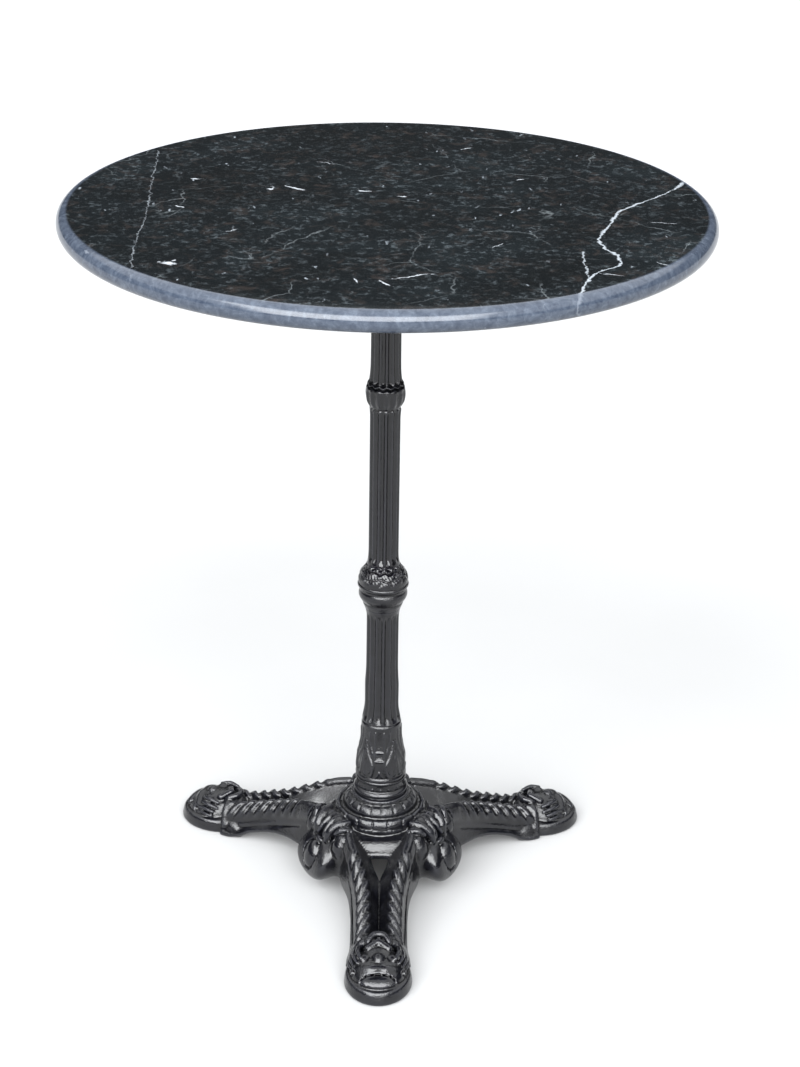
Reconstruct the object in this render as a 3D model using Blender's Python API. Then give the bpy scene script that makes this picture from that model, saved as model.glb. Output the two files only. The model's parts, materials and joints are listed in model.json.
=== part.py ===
"""Bistro table: a round marble top on a cast-iron column and tripod base, clamped by one long tie rod.

Metres, +Z up. The origin is on the floor under the column's axis, and one leg points along -Y.
"""

import math

import bmesh
import bpy
from mathutils import Matrix, Vector

MM = 0.001
GAP = 0.3 * MM                      # clearance between two pieces that rest on or in each other

# ---- driving dimensions -------------------------------------------------------------------------
TABLE_HEIGHT = 710 * MM
TOP_RADIUS = 300 * MM
TOP_THICKNESS = 20 * MM
FOOT_REACH = 203 * MM               # column axis to the centre of a foot
FOOT_HALF_WIDTH = 33.5 * MM
FOOT_HALF_LENGTH = 38 * MM
FOOT_RIM = 15 * MM                  # height of the rim wall round a foot
LEG_ANGLES = tuple(math.radians(a) for a in (-90, 30, 150))
DROP_ANGLES = tuple(a + math.radians(60) for a in LEG_ANGLES)

HUB_TOP = 98 * MM                   # joint between the base and the lower column
KNOP_BOTTOM = 303 * MM
KNOP_TOP = 350 * MM
SHAFT_TOP = 660 * MM
FLUTES = 14

ROD_RADIUS = 4.9 * MM               # M10 tie rod
ROD_HOLE = 5.4 * MM
COLUMN_BORE = 9.3 * MM
SPIGOT_RADIUS = 9.0 * MM            # what one column casting pushes into the next
SPIGOT_LENGTH = 8 * MM
HUB_SPIGOT_RADIUS = 16 * MM

SLAB_BOTTOM = TABLE_HEIGHT - TOP_THICKNESS
PAD_THICKNESS = 1.4 * MM            # rubber under the slab
SPIDER_TOP = SLAB_BOTTOM - PAD_THICKNESS - 2 * GAP
SPIDER_ARM_THICKNESS = 6 * MM
SPIDER_HUB_RADIUS = 34 * MM
SCREW_CIRCLE = 180 * MM             # column axis to each screw under the slab
SCREW_ANGLES = tuple(math.radians(a) for a in (45, 135, 225, 315))
SCREW_RADIUS = 2.9 * MM             # M6
SCREW_HOLE = 3.3 * MM
INSERT_RADIUS = 5 * MM
INSERT_LENGTH = 11 * MM

HUB_PLATE = 22 * MM                 # thickness of the hub's middle
FOOT_HOLLOW_DEPTH = 12 * MM
FOOT_HOLLOW_RADIUS = 27 * MM
GLIDE_PAD_RADIUS = 14 * MM
GLIDE_PAD_THICKNESS = 4 * MM
GLIDE_LIFT = 0.6 * MM               # a fully wound-in pad stays this far above the floor
STEM_RADIUS = 3.7 * MM              # M8
BUSH_RADIUS = 6 * MM
BUSH_LENGTH = 18 * MM

FINE = 56                           # facets round a column casting: four for each flute
HUB_FACETS = 32                     # facets round the knop, the hub and the feet
ROUND = 16                          # facets round a small piece


def clear_scene():
    for obj in list(bpy.data.objects):
        bpy.data.objects.remove(obj, do_unlink=True)


# ---- materials ----------------------------------------------------------------------------------
def material(name, colour, roughness, metallic):
    made = bpy.data.materials.new(name)
    made.use_nodes = True
    shader = made.node_tree.nodes["Principled BSDF"]
    shader.inputs["Base Color"].default_value = (*colour, 1)
    shader.inputs["Roughness"].default_value = roughness
    shader.inputs["Metallic"].default_value = metallic
    made.diffuse_color = (*colour, 1)
    return made


def materials():
    return {
        "marble": material("black_marble", (0.018, 0.021, 0.023), 0.15, 0.0),
        "iron": material("black_enamelled_iron", (0.012, 0.012, 0.014), 0.28, 0.0),
        "steel": material("zinc_plated_steel", (0.55, 0.56, 0.58), 0.35, 1.0),
        "brass": material("brass", (0.75, 0.55, 0.25), 0.3, 1.0),
        "rubber": material("black_rubber", (0.02, 0.02, 0.02), 0.8, 0.0),
        "nylon": material("black_nylon", (0.03, 0.03, 0.03), 0.5, 0.0),
    }


# ---- mesh helpers -------------------------------------------------------------------------------
def finish(name, bm, made_of=None, location=(0, 0, 0), turn=0.0, parent=None, sharp=35):
    """Turns a bmesh into a placed object with smooth round faces and sharp corners."""
    bmesh.ops.remove_doubles(bm, verts=bm.verts, dist=1e-6)
    bmesh.ops.recalc_face_normals(bm, faces=bm.faces)
    mesh = bpy.data.meshes.new(name)
    bm.to_mesh(mesh)
    bm.free()
    mesh.shade_smooth()
    mesh.set_sharp_from_angle(angle=math.radians(sharp))
    if made_of:
        mesh.materials.append(made_of)
    obj = bpy.data.objects.new(name, mesh)
    bpy.context.scene.collection.objects.link(obj)
    obj.parent = parent
    obj.location = location
    obj.rotation_euler = (0, 0, turn)
    return obj


def spun(profile, steps=ROUND, closed=True):
    """A bmesh turned about Z from (radius, height) points; an open profile starts and ends on the axis."""
    bm = bmesh.new()
    points = [bm.verts.new((r, 0, z)) for r, z in profile]
    ends = points[1:] + points[:1] if closed else points[1:]
    edges = [bm.edges.new(pair) for pair in zip(points, ends)]
    bmesh.ops.spin(bm, geom=points + edges, cent=(0, 0, 0), axis=(0, 0, 1), angle=math.tau, steps=steps,
                   use_merge=True)
    bmesh.ops.remove_doubles(bm, verts=bm.verts, dist=1e-7)
    return bm


def flute(bm, low, high, depth, fade, inner):
    """Presses flutes into a turned casting between two heights, fading out over a short run at each end."""
    for v in bm.verts:
        radius = math.hypot(v.co.x, v.co.y)
        if radius < inner or not low < v.co.z < high:
            continue
        strength = min(1, (v.co.z - low) / fade, (high - v.co.z) / fade)
        wave = 0.5 - 0.5 * math.cos(FLUTES * math.atan2(v.co.y, v.co.x))
        v.co.xy *= 1 - depth * strength * wave / radius
    return bm


def lofted(sections):
    """A closed bmesh through equal-length rings of points, capped at both ends."""
    bm = bmesh.new()
    rings = [[bm.verts.new(p) for p in ring] for ring in sections]
    for ring, following in zip(rings, rings[1:]):
        for i in range(len(ring)):
            j = (i + 1) % len(ring)
            bm.faces.new((ring[i], ring[j], following[j], following[i]))
    bm.faces.new(rings[0])
    bm.faces.new(rings[-1])
    return bm


def ellipsoid(centre, half, segments=14, rings=8):
    bm = bmesh.new()
    place = Matrix.Translation(Vector(centre)) @ Matrix.Diagonal((*half, 1))
    bmesh.ops.create_uvsphere(bm, u_segments=segments, v_segments=rings, radius=1, matrix=place)
    return bm


def hex_prism(across_flats, bottom, top, bore=None):
    """A hexagon bar between two heights, with an optional round hole through it."""
    bm = bmesh.new()
    outer_radius = across_flats / math.sqrt(3)
    sides = 24
    outer = []
    for i in range(sides):
        angle = math.tau * i / sides
        in_side = (angle % (math.pi / 3)) - math.pi / 6
        reach = outer_radius * math.cos(math.pi / 6) / math.cos(in_side)
        outer.append((reach * math.cos(angle), reach * math.sin(angle)))
    inner = [(bore * math.cos(math.tau * i / sides), bore * math.sin(math.tau * i / sides))
             for i in range(sides)] if bore else None
    loops = [(outer, bottom), (outer, top)]
    if inner:
        loops += [(inner, top), (inner, bottom)]
    rings = [[bm.verts.new((x, y, z)) for x, y in loop] for loop, z in loops]
    pairs = list(zip(rings, rings[1:]))
    if inner:
        pairs.append((rings[-1], rings[0]))
    for ring, following in pairs:
        for i in range(sides):
            j = (i + 1) % sides
            bm.faces.new((ring[i], ring[j], following[j], following[i]))
    if not inner:
        bm.faces.new(rings[0])
        bm.faces.new(rings[1])
    return bm


def combine(target, operation, helpers):
    """One Boolean of a target with a set of hidden helper solids."""
    group = bpy.data.collections.new(f"{target.name}_{operation.lower()}")
    bpy.context.scene.collection.children.link(group)
    for helper in helpers:
        bpy.context.scene.collection.objects.unlink(helper)
        group.objects.link(helper)
        helper.hide_render = True
        helper.display_type = "WIRE"
    cut = target.modifiers.new(operation.lower(), "BOOLEAN")
    cut.operation = operation
    cut.operand_type = "COLLECTION"
    cut.collection = group
    cut.solver = "EXACT"


def around(angles, radius):
    return [(radius * math.cos(a), radius * math.sin(a)) for a in angles]


# ---- stone top ----------------------------------------------------------------------------------
def marble_top(mats):
    """A slab with a full bullnose edge and four blind holes underneath."""
    half = TOP_THICKNESS / 2
    edge = [(TOP_RADIUS - half + half * math.sin(a), half + half * math.cos(a))
            for a in (math.pi * i / 6 for i in range(7))]
    bm = spun([(0, TOP_THICKNESS), *edge, (0, 0)], steps=72, closed=False)
    slab = finish("marble_top", bm, mats["marble"], (0, 0, SLAB_BOTTOM))
    depth = INSERT_LENGTH + GAP
    radius = INSERT_RADIUS + GAP
    holes = []
    for i, (x, y) in enumerate(around(SCREW_ANGLES, SCREW_CIRCLE), 1):
        hole = spun([(0, depth), (radius, depth), (radius, -depth), (0, -depth)], closed=False)
        holes.append(finish(f"cut_insert_hole_{i}", hole, location=(x, y, SLAB_BOTTOM)))
    combine(slab, "DIFFERENCE", holes)


def slab_fixings(mats):
    """The insert, rubber pad, washer and screw at the end of each bracket arm."""
    insert_bore = SCREW_RADIUS + GAP
    arm_bottom = SPIDER_TOP - SPIDER_ARM_THICKNESS
    washer_top = arm_bottom - GAP
    washer_thickness = 1.6 * MM
    head_top = washer_top - washer_thickness - GAP
    head_height = 4 * MM
    screw_top = SLAB_BOTTOM + INSERT_LENGTH - 2 * MM
    for i, (x, y) in enumerate(around(SCREW_ANGLES, SCREW_CIRCLE), 1):
        bm = spun([(INSERT_RADIUS, INSERT_LENGTH), (INSERT_RADIUS, 0), (insert_bore, 0),
                   (insert_bore, INSERT_LENGTH)])
        finish(f"brass_insert_{i}", bm, mats["brass"], (x, y, SLAB_BOTTOM))
        bm = spun([(15 * MM, PAD_THICKNESS), (15 * MM, 0), (SCREW_HOLE, 0), (SCREW_HOLE, PAD_THICKNESS)])
        finish(f"rubber_pad_{i}", bm, mats["rubber"], (x, y, SPIDER_TOP + GAP))
        bm = spun([(6.2 * MM, washer_thickness), (6.2 * MM, 0), (SCREW_HOLE, 0),
                   (SCREW_HOLE, washer_thickness)])
        finish(f"screw_washer_{i}", bm, mats["steel"], (x, y, washer_top - washer_thickness))
        bm = hex_prism(10 * MM, head_top - head_height, head_top)
        screw = finish(f"top_screw_{i}", bm, mats["steel"], (x, y, 0))
        shank = spun([(0, screw_top), (SCREW_RADIUS, screw_top), (SCREW_RADIUS, head_top - 1 * MM),
                      (0, head_top - 1 * MM)], closed=False)
        combine(screw, "UNION", [finish(f"join_screw_shank_{i}", shank, location=(x, y, 0))])


# ---- bracket under the slab ---------------------------------------------------------------------
def top_spider(mats):
    """A cast cross: a socketed hub, four tapering arms with a rib under each, and a seat at each arm's end."""
    recess_floor = SPIDER_TOP - 14 * MM
    hub_bottom = SHAFT_TOP + GAP
    bm = spun([(SPIDER_HUB_RADIUS, SPIDER_TOP), (SPIDER_HUB_RADIUS, SPIDER_TOP - 8 * MM),
               (22 * MM, SPIDER_TOP - 16 * MM), (19 * MM, hub_bottom), (SPIGOT_RADIUS, hub_bottom),
               (SPIGOT_RADIUS, hub_bottom - SPIGOT_LENGTH), (ROD_HOLE, hub_bottom - SPIGOT_LENGTH),
               (ROD_HOLE, recess_floor), (14 * MM, recess_floor), (14 * MM, SPIDER_TOP)], steps=HUB_FACETS)
    spider = finish("top_spider", bm, mats["iron"])
    helpers, holes = [], []
    arm_bottom = SPIDER_TOP - SPIDER_ARM_THICKNESS
    for i, (angle, (x, y)) in enumerate(zip(SCREW_ANGLES, around(SCREW_ANGLES, SCREW_CIRCLE)), 1):
        near, far = 24 * MM, SCREW_CIRCLE
        arm = lofted([[(near, -15 * MM, arm_bottom), (near, 15 * MM, arm_bottom),
                       (near, 15 * MM, SPIDER_TOP), (near, -15 * MM, SPIDER_TOP)],
                      [(far, -10 * MM, arm_bottom), (far, 10 * MM, arm_bottom),
                       (far, 10 * MM, SPIDER_TOP), (far, -10 * MM, SPIDER_TOP)]])
        helpers.append(finish(f"join_arm_{i}", arm, turn=angle))
        rib_root = SPIDER_TOP - 24 * MM
        rib = lofted([[(18 * MM, -3 * MM, rib_root), (18 * MM, 3 * MM, rib_root),
                       (18 * MM, 3 * MM, arm_bottom + 1 * MM), (18 * MM, -3 * MM, arm_bottom + 1 * MM)],
                      [(155 * MM, -2 * MM, arm_bottom - 1 * MM), (155 * MM, 2 * MM, arm_bottom - 1 * MM),
                       (155 * MM, 2 * MM, arm_bottom + 1 * MM), (155 * MM, -2 * MM, arm_bottom + 1 * MM)]])
        helpers.append(finish(f"join_rib_{i}", rib, turn=angle))
        seat = spun([(0, SPIDER_TOP), (15 * MM, SPIDER_TOP), (15 * MM, arm_bottom), (0, arm_bottom)],
                    closed=False)
        helpers.append(finish(f"join_seat_{i}", seat, location=(x, y, 0)))
        hole = spun([(0, SLAB_BOTTOM), (SCREW_HOLE, SLAB_BOTTOM), (SCREW_HOLE, arm_bottom - 5 * MM),
                     (0, arm_bottom - 5 * MM)], closed=False)
        holes.append(finish(f"cut_arm_hole_{i}", hole, location=(x, y, 0)))
    recess = spun([(0, SLAB_BOTTOM), (14 * MM, SLAB_BOTTOM), (14 * MM, recess_floor), (0, recess_floor)],
                  closed=False)
    holes.append(finish("cut_nut_recess", recess))
    bore_end = hub_bottom - SPIGOT_LENGTH - 5 * MM
    bore = spun([(0, SLAB_BOTTOM), (ROD_HOLE, SLAB_BOTTOM), (ROD_HOLE, bore_end), (0, bore_end)],
                closed=False)
    holes.append(finish("cut_rod_hole", bore))
    combine(spider, "UNION", helpers)
    combine(spider, "DIFFERENCE", holes)
    return recess_floor


# ---- column -------------------------------------------------------------------------------------
def bead(radius, bottom, top, bulge, count=3):
    """Points down the outside of a half-round moulding."""
    half = (top - bottom) / 2
    return [(radius + bulge * math.sin(a), bottom + half + half * math.cos(a))
            for a in (math.pi * i / count for i in range(count + 1))]


def fluted_shaft(mats):
    """The upper column: a fluted tube with a small lobed collar near its top."""
    foot = KNOP_TOP + GAP
    flare = [(14.9 * MM, 359 * MM), (15.5 * MM, 354 * MM), (16.8 * MM, foot)]
    collar = bead(16.2 * MM, 517 * MM, 536 * MM, 3 * MM, 6)
    outer = [(14.4 * MM, SHAFT_TOP), (14.4 * MM, 655 * MM), (14.6 * MM, 546 * MM), (15.2 * MM, 541 * MM),
             *collar, (15 * MM, 513 * MM), (14.8 * MM, 506 * MM), (14.6 * MM, 366 * MM), *flare]
    bm = spun([*outer, (COLUMN_BORE, foot), (COLUMN_BORE, SHAFT_TOP)], steps=FINE)
    flute(bm, 357 * MM, 514 * MM, 1.5 * MM, 4 * MM, 12 * MM)
    flute(bm, 538 * MM, SHAFT_TOP + 10 * MM, 1.5 * MM, 4 * MM, 12 * MM)
    finish("fluted_shaft", bm, mats["iron"])


def column_knop(mats):
    """The round knob in the middle of the column, with a smaller bead under it."""
    knob = [(17 * MM, KNOP_TOP), (20 * MM, 344.5 * MM), (22.6 * MM, 340 * MM), (24 * MM, 334.5 * MM),
            (24.7 * MM, 327 * MM), (24 * MM, 321.5 * MM), (22.6 * MM, 318.6 * MM)]
    lower_bead = [(21.6 * MM, 317.6 * MM), (22.4 * MM, 315 * MM), (21.8 * MM, 311 * MM),
                  (19.6 * MM, 307.5 * MM), (17.6 * MM, KNOP_BOTTOM + GAP)]
    rod_way = ROD_RADIUS + 1 * MM
    shoulder = KNOP_BOTTOM + SPIGOT_LENGTH + 2 * MM
    bm = spun([(SPIGOT_RADIUS, KNOP_TOP + SPIGOT_LENGTH), (SPIGOT_RADIUS, KNOP_TOP), *knob, *lower_bead,
               (COLUMN_BORE, KNOP_BOTTOM + GAP), (COLUMN_BORE, shoulder), (rod_way, shoulder),
               (rod_way, KNOP_TOP + SPIGOT_LENGTH)], steps=HUB_FACETS)
    finish("column_knop", bm, mats["iron"])


def vase_column(mats):
    """The lower column: flutes, then a leaf-cased vase, then the turned rings that sit on the base."""
    neck = [(17.2 * MM, KNOP_BOTTOM), (16.4 * MM, 297 * MM), (16 * MM, 290 * MM), (16 * MM, 236 * MM),
            (16.5 * MM, 227 * MM), (17 * MM, 219 * MM), (17 * MM, 197 * MM), (18 * MM, 187 * MM),
            (19.4 * MM, 180 * MM)]
    vase = [(20.2 * MM, 172 * MM), (20 * MM, 163 * MM), (21.4 * MM, 150 * MM), (23.6 * MM, 140 * MM),
            (24.6 * MM, 130 * MM), (24.4 * MM, 121 * MM)]
    rings = [*bead(24.2 * MM, 112 * MM, 120 * MM, 1.6 * MM), (24.6 * MM, 111 * MM), (24.8 * MM, 107 * MM),
             *bead(24.8 * MM, 99.5 * MM, 106.5 * MM, 2.6 * MM), (26 * MM, HUB_TOP)]
    seat = HUB_TOP
    spigot_end = seat - SPIGOT_LENGTH
    rod_way = ROD_RADIUS + 1 * MM
    bore = 10.5 * MM
    bm = spun([(SPIGOT_RADIUS, KNOP_BOTTOM + SPIGOT_LENGTH), (SPIGOT_RADIUS, KNOP_BOTTOM), *neck, *vase,
               *rings, (HUB_SPIGOT_RADIUS, seat), (HUB_SPIGOT_RADIUS, spigot_end), (bore, spigot_end),
               (bore, KNOP_BOTTOM - 8 * MM), (rod_way, KNOP_BOTTOM - 4 * MM),
               (rod_way, KNOP_BOTTOM + SPIGOT_LENGTH)], steps=FINE)
    flute(bm, 190 * MM, 300 * MM, 1.5 * MM, 5 * MM, 12 * MM)
    finish("vase_column", bm, mats["iron"])


# ---- tie rod ------------------------------------------------------------------------------------
def tie_rod(mats, recess_floor):
    """The rod through the whole column, a nut and washer at its top, a nut and plate washer below the hub."""
    washer = 2 * MM
    washer_base = recess_floor + GAP
    nut_height = 8 * MM
    nut_base = washer_base + washer + GAP
    plate_top = HUB_TOP - HUB_PLATE - GAP
    plate = 4 * MM
    low_nut_top = plate_top - plate - GAP
    rod_top = nut_base + nut_height + 2 * MM
    rod_bottom = low_nut_top - nut_height - 4 * MM
    tip = 0.8 * MM
    bm = spun([(0, rod_top), (ROD_RADIUS - tip, rod_top), (ROD_RADIUS, rod_top - tip),
               (ROD_RADIUS, rod_bottom + tip), (ROD_RADIUS - tip, rod_bottom), (0, rod_bottom)],
              closed=False)
    finish("tie_rod", bm, mats["steel"])
    hole = ROD_RADIUS + GAP
    bm = spun([(12 * MM, washer), (12 * MM, 0), (hole, 0), (hole, washer)])
    finish("top_washer", bm, mats["steel"], (0, 0, washer_base))
    finish("top_nut", hex_prism(17 * MM, 0, nut_height, hole), mats["steel"], (0, 0, nut_base))
    bm = spun([(19 * MM, plate), (19 * MM, 0), (hole, 0), (hole, plate)])
    finish("plate_washer", bm, mats["steel"], (0, 0, plate_top - plate))
    finish("bottom_nut", hex_prism(17 * MM, 0, nut_height, hole), mats["steel"],
           (0, 0, low_nut_top - nut_height))


# ---- tripod base --------------------------------------------------------------------------------
# Sections along a leg, in millimetres from the column's axis: half-width and height of the bottom edge,
# half-spacing and height of the two rib crests, half-width and height of the floor between the ribs.
LEG_SECTIONS = (
    (26, 48, 24, 44, 80, 34, 72),
    (50, 42, 24, 33, 78, 23.5, 69),
    (73, 37.5, 24, 26.5, 72.5, 12, 62),
    (97, 31.3, 24, 18.5, 62, 1.5, 45),
    (119, 28.6, 20, 13.5, 52, 1.5, 36),
    (141, 28, 12, 12.8, 43.5, 1.5, 29),
    (155, 28.5, 4, 12.6, 38, 1.5, 25),
    (168, 31, 0.5, 13.5, 33.5, 2, 24),
    (190, 32, 0.5, 15, 30, 4, 28),
)
WALL = 6                            # mm, thickness of the casting
HEEL_LIFT = 0.5                     # mm, the heel behind each foot clears the floor by this much


def between(sections, steps):
    """Smoothly interpolated rows between hand-set ones (Catmull-Rom)."""
    rows = []
    for i in range(len(sections) - 1):
        a, b = sections[max(i - 1, 0)], sections[i]
        c, d = sections[i + 1], sections[min(i + 2, len(sections) - 1)]
        for k in range(steps):
            t = k / steps
            rows.append([0.5 * (2 * q + (r - p) * t + (2 * p - 5 * q + 4 * r - s) * t * t
                                + (3 * q - p - 3 * r + s) * t ** 3) for p, q, r, s in zip(a, b, c, d)])
    rows.append(list(sections[-1]))
    return rows


def leg_outline(rho, foot_half, foot_z, crest_half, crest_z, floor_half, floor_z):
    """One closed section through a leg, looking along it."""
    groove_z = crest_z - 0.62 * (crest_z - foot_z)
    groove_half = crest_half + 5 + 0.55 * (foot_half - crest_half - 5)
    foot_z = max(foot_z, HEEL_LIFT)
    side = [(foot_half, foot_z), (foot_half - 1, foot_z + 0.5 * (groove_z - foot_z)),
            (groove_half, groove_z), (crest_half + 5.5, crest_z - 5), (crest_half + 3, crest_z - 1),
            (crest_half, crest_z), (crest_half - 3.5, crest_z - 1.5), (crest_half - 6, crest_z - 6),
            (floor_half, floor_z)]
    return [(rho * MM, y * MM, z * MM) for y, z in side + [(-y, z) for y, z in reversed(side)]]


def leg_hollow(rho, foot_half, foot_z, crest_half, crest_z, floor_half, floor_z):
    """The matching section of the hollow under a leg."""
    side = [(foot_half - WALL, -5), (foot_half - WALL - 1, foot_z + 4),
            (crest_half + 1, crest_z - 2 * WALL), (crest_half - 3, crest_z - 2 * WALL),
            (floor_half * 0.6, floor_z - WALL)]
    return [(rho * MM, y * MM, z * MM) for y, z in side + [(-y, z) for y, z in reversed(side)]]


def hub():
    """The ringed boss in the middle of the tripod and the skirt below it."""
    top = HUB_TOP - GAP
    profile = [(0, top), (28 * MM, top), (29.5 * MM, 96 * MM), (33.5 * MM, 92 * MM), (36 * MM, 85 * MM),
               (37 * MM, 83 * MM), (41 * MM, 83.5 * MM), (44.5 * MM, 80 * MM), (46.5 * MM, 73 * MM),
               (48.5 * MM, 71 * MM), (53 * MM, 66 * MM), (58 * MM, 45 * MM), (62 * MM, 26 * MM),
               (0, 26 * MM)]
    return spun(profile, steps=HUB_FACETS, closed=False)


def hub_hollow():
    top = HUB_TOP - HUB_PLATE
    profile = [(0, top), (20 * MM, top), (25 * MM, 71 * MM), (38 * MM, 62 * MM), (50 * MM, 52 * MM),
               (56 * MM, 30 * MM), (58 * MM, -5 * MM), (0, -5 * MM)]
    return spun(profile, steps=24, closed=False)


def foot_pad():
    """The flared rim of a foot: a turned shape, drawn out along the leg."""
    slope = 2.5 * MM
    top = FOOT_HALF_WIDTH - slope
    bm = spun([(0, 24 * MM), (26 * MM, 24 * MM), (top - 2.5 * MM, FOOT_RIM + 1.5 * MM), (top, FOOT_RIM - 1 * MM),
               (FOOT_HALF_WIDTH, 0), (0, 0)], steps=HUB_FACETS, closed=False)
    bmesh.ops.scale(bm, vec=(FOOT_HALF_LENGTH / FOOT_HALF_WIDTH, 1, 1), verts=bm.verts)
    return bm


def foot_crown():
    """The domed shell on top of a foot, a little longer than it is wide."""
    base, height, reach, half_width = 16 * MM, 23 * MM, 31 * MM, 28 * MM
    arc = [(half_width * math.sin(a), base + height * math.cos(a)) for a in (math.pi * i / 10 for i in range(6))]
    bm = spun([*arc, (half_width, base - 2 * MM), (0, base - 2 * MM)], steps=20, closed=False)
    bmesh.ops.scale(bm, vec=(reach / half_width, 1, 1), verts=bm.verts)
    bmesh.ops.translate(bm, vec=(-4 * MM, 0, 0), verts=bm.verts)
    return bm


def tripod_base(mats):
    """One casting: hub, three legs with paired ribs, three drops and three hollow feet."""
    base = finish("tripod_base", hub(), mats["iron"])
    solids, hollows = [], []
    rows = between(LEG_SECTIONS, 2)
    inner_rows = [row for row in rows if row[0] <= 168.5]
    for i, angle in enumerate(LEG_ANGLES, 1):
        leg = finish(f"join_leg_{i}", lofted([leg_outline(*row) for row in rows]), turn=angle)
        hollow = finish(f"cut_leg_{i}", lofted([leg_hollow(*row) for row in inner_rows]), turn=angle)
        x, y = around([angle], FOOT_REACH)[0]
        pad = finish(f"join_foot_{i}", foot_pad(), location=(x, y, 0), turn=angle)
        crown = finish(f"join_crown_{i}", foot_crown(), location=(x, y, 0), turn=angle)
        solids += [leg, pad, crown]
        pocket = spun([(0, FOOT_HOLLOW_DEPTH), (FOOT_HOLLOW_RADIUS, FOOT_HOLLOW_DEPTH),
                       (FOOT_HOLLOW_RADIUS, -5 * MM), (0, -5 * MM)], steps=24, closed=False)
        bush_top = FOOT_HOLLOW_DEPTH + BUSH_LENGTH + 2 * GAP
        socket = BUSH_RADIUS + GAP
        bore = spun([(0, bush_top), (socket, bush_top), (socket, 5 * MM), (0, 5 * MM)], closed=False)
        window = lofted([[(72 * MM, -11.5 * MM, z * MM), (72 * MM, 11.5 * MM, z * MM), (97 * MM, 0, z * MM)]
                         for z in (-5, 90)])
        hollows += [hollow, finish(f"cut_pocket_{i}", pocket, location=(x, y, 0)),
                    finish(f"cut_bush_bore_{i}", bore, location=(x, y, 0)),
                    finish(f"cut_window_{i}", window, turn=angle)]
    for i, angle in enumerate(DROP_ANGLES, 1):
        drop = ellipsoid((60 * MM, 0, 45 * MM), (26 * MM, 26 * MM, 31 * MM))
        solids.append(finish(f"join_drop_{i}", drop, turn=angle))
        knuckle = ellipsoid((53 * MM, 0, 73 * MM), (9 * MM, 15 * MM, 8.5 * MM))
        solids.append(finish(f"join_knuckle_{i}", knuckle, turn=angle))
        inside = ellipsoid((56 * MM, 0, 41 * MM), (23 * MM, 19 * MM, 24 * MM))
        hollows.append(finish(f"cut_drop_{i}", inside, turn=angle))
    hollows.append(finish("cut_hub", hub_hollow()))
    counterbore = HUB_SPIGOT_RADIUS + GAP
    floor = HUB_TOP - SPIGOT_LENGTH - GAP
    socket = spun([(0, HUB_TOP + 9 * MM), (counterbore, HUB_TOP + 9 * MM), (counterbore, floor),
                   (ROD_HOLE, floor), (ROD_HOLE, 60 * MM), (0, 60 * MM)], steps=HUB_FACETS,
                  closed=False)
    hollows.append(finish("cut_spigot_socket", socket))
    combine(base, "UNION", solids)
    combine(base, "DIFFERENCE", hollows)


# ---- levelling glides ---------------------------------------------------------------------------
def levelling_glides(mats):
    """In each foot: a pressed-in bush, a screwed stem with a hex collar, and a pad that swivels on it."""
    pad_top = GLIDE_LIFT + GLIDE_PAD_THICKNESS
    socket_floor = GLIDE_LIFT + 1.8 * MM
    neck = 3 * MM
    collar_bottom = pad_top + GAP
    collar_top = collar_bottom + 3.5 * MM
    stem_top = FOOT_HOLLOW_DEPTH + BUSH_LENGTH - 1 * MM
    bore = STEM_RADIUS + GAP
    for i, (x, y) in enumerate(around(LEG_ANGLES, FOOT_REACH), 1):
        axis = bpy.data.objects.new(f"glide_axis_{i}", None)
        bpy.context.scene.collection.objects.link(axis)
        axis.location = (x, y, 0)
        bush_base = FOOT_HOLLOW_DEPTH + GAP
        bm = spun([(BUSH_RADIUS, BUSH_LENGTH), (BUSH_RADIUS, 0), (bore, 0), (bore, BUSH_LENGTH)])
        finish(f"glide_bush_{i}", bm, mats["steel"], (0, 0, bush_base), parent=axis)
        bm = spun([(0, stem_top), (STEM_RADIUS - 0.6 * MM, stem_top), (STEM_RADIUS, stem_top - 0.6 * MM),
                   (STEM_RADIUS, collar_top - 1 * MM), (neck, collar_top - 1 * MM),
                   (neck, socket_floor + GAP), (0, socket_floor + GAP)], closed=False)
        stem = finish(f"glide_stem_{i}", bm, mats["steel"], parent=axis)
        collar = finish(f"join_collar_{i}", hex_prism(13 * MM, collar_bottom, collar_top), parent=axis)
        combine(stem, "UNION", [collar])
        slope = 1 * MM
        bm = spun([(GLIDE_PAD_RADIUS - slope, pad_top), (GLIDE_PAD_RADIUS, pad_top - slope),
                   (GLIDE_PAD_RADIUS, GLIDE_LIFT + slope), (GLIDE_PAD_RADIUS - slope, GLIDE_LIFT),
                   (0, GLIDE_LIFT), (0, socket_floor), (neck + GAP, socket_floor), (neck + GAP, pad_top)])
        finish(f"glide_pad_{i}", bm, mats["nylon"], parent=axis)


def build():
    clear_scene()
    mats = materials()
    marble_top(mats)
    slab_fixings(mats)
    recess_floor = top_spider(mats)
    fluted_shaft(mats)
    column_knop(mats)
    vase_column(mats)
    tie_rod(mats, recess_floor)
    tripod_base(mats)
    levelling_glides(mats)


build()
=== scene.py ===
"""Looks for the bistro table: the fine castings, the marble slab, every finish, the light and the camera.

The CAD model is the frame. Scene lengths are metres; the castings are worked out in millimetres and
turned into metres where their meshes are made. Legs point along -90, 30 and 150 degrees.
"""

import json
import math

import bmesh
import bpy
import numpy as np
from mathutils import Matrix, Vector

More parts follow.
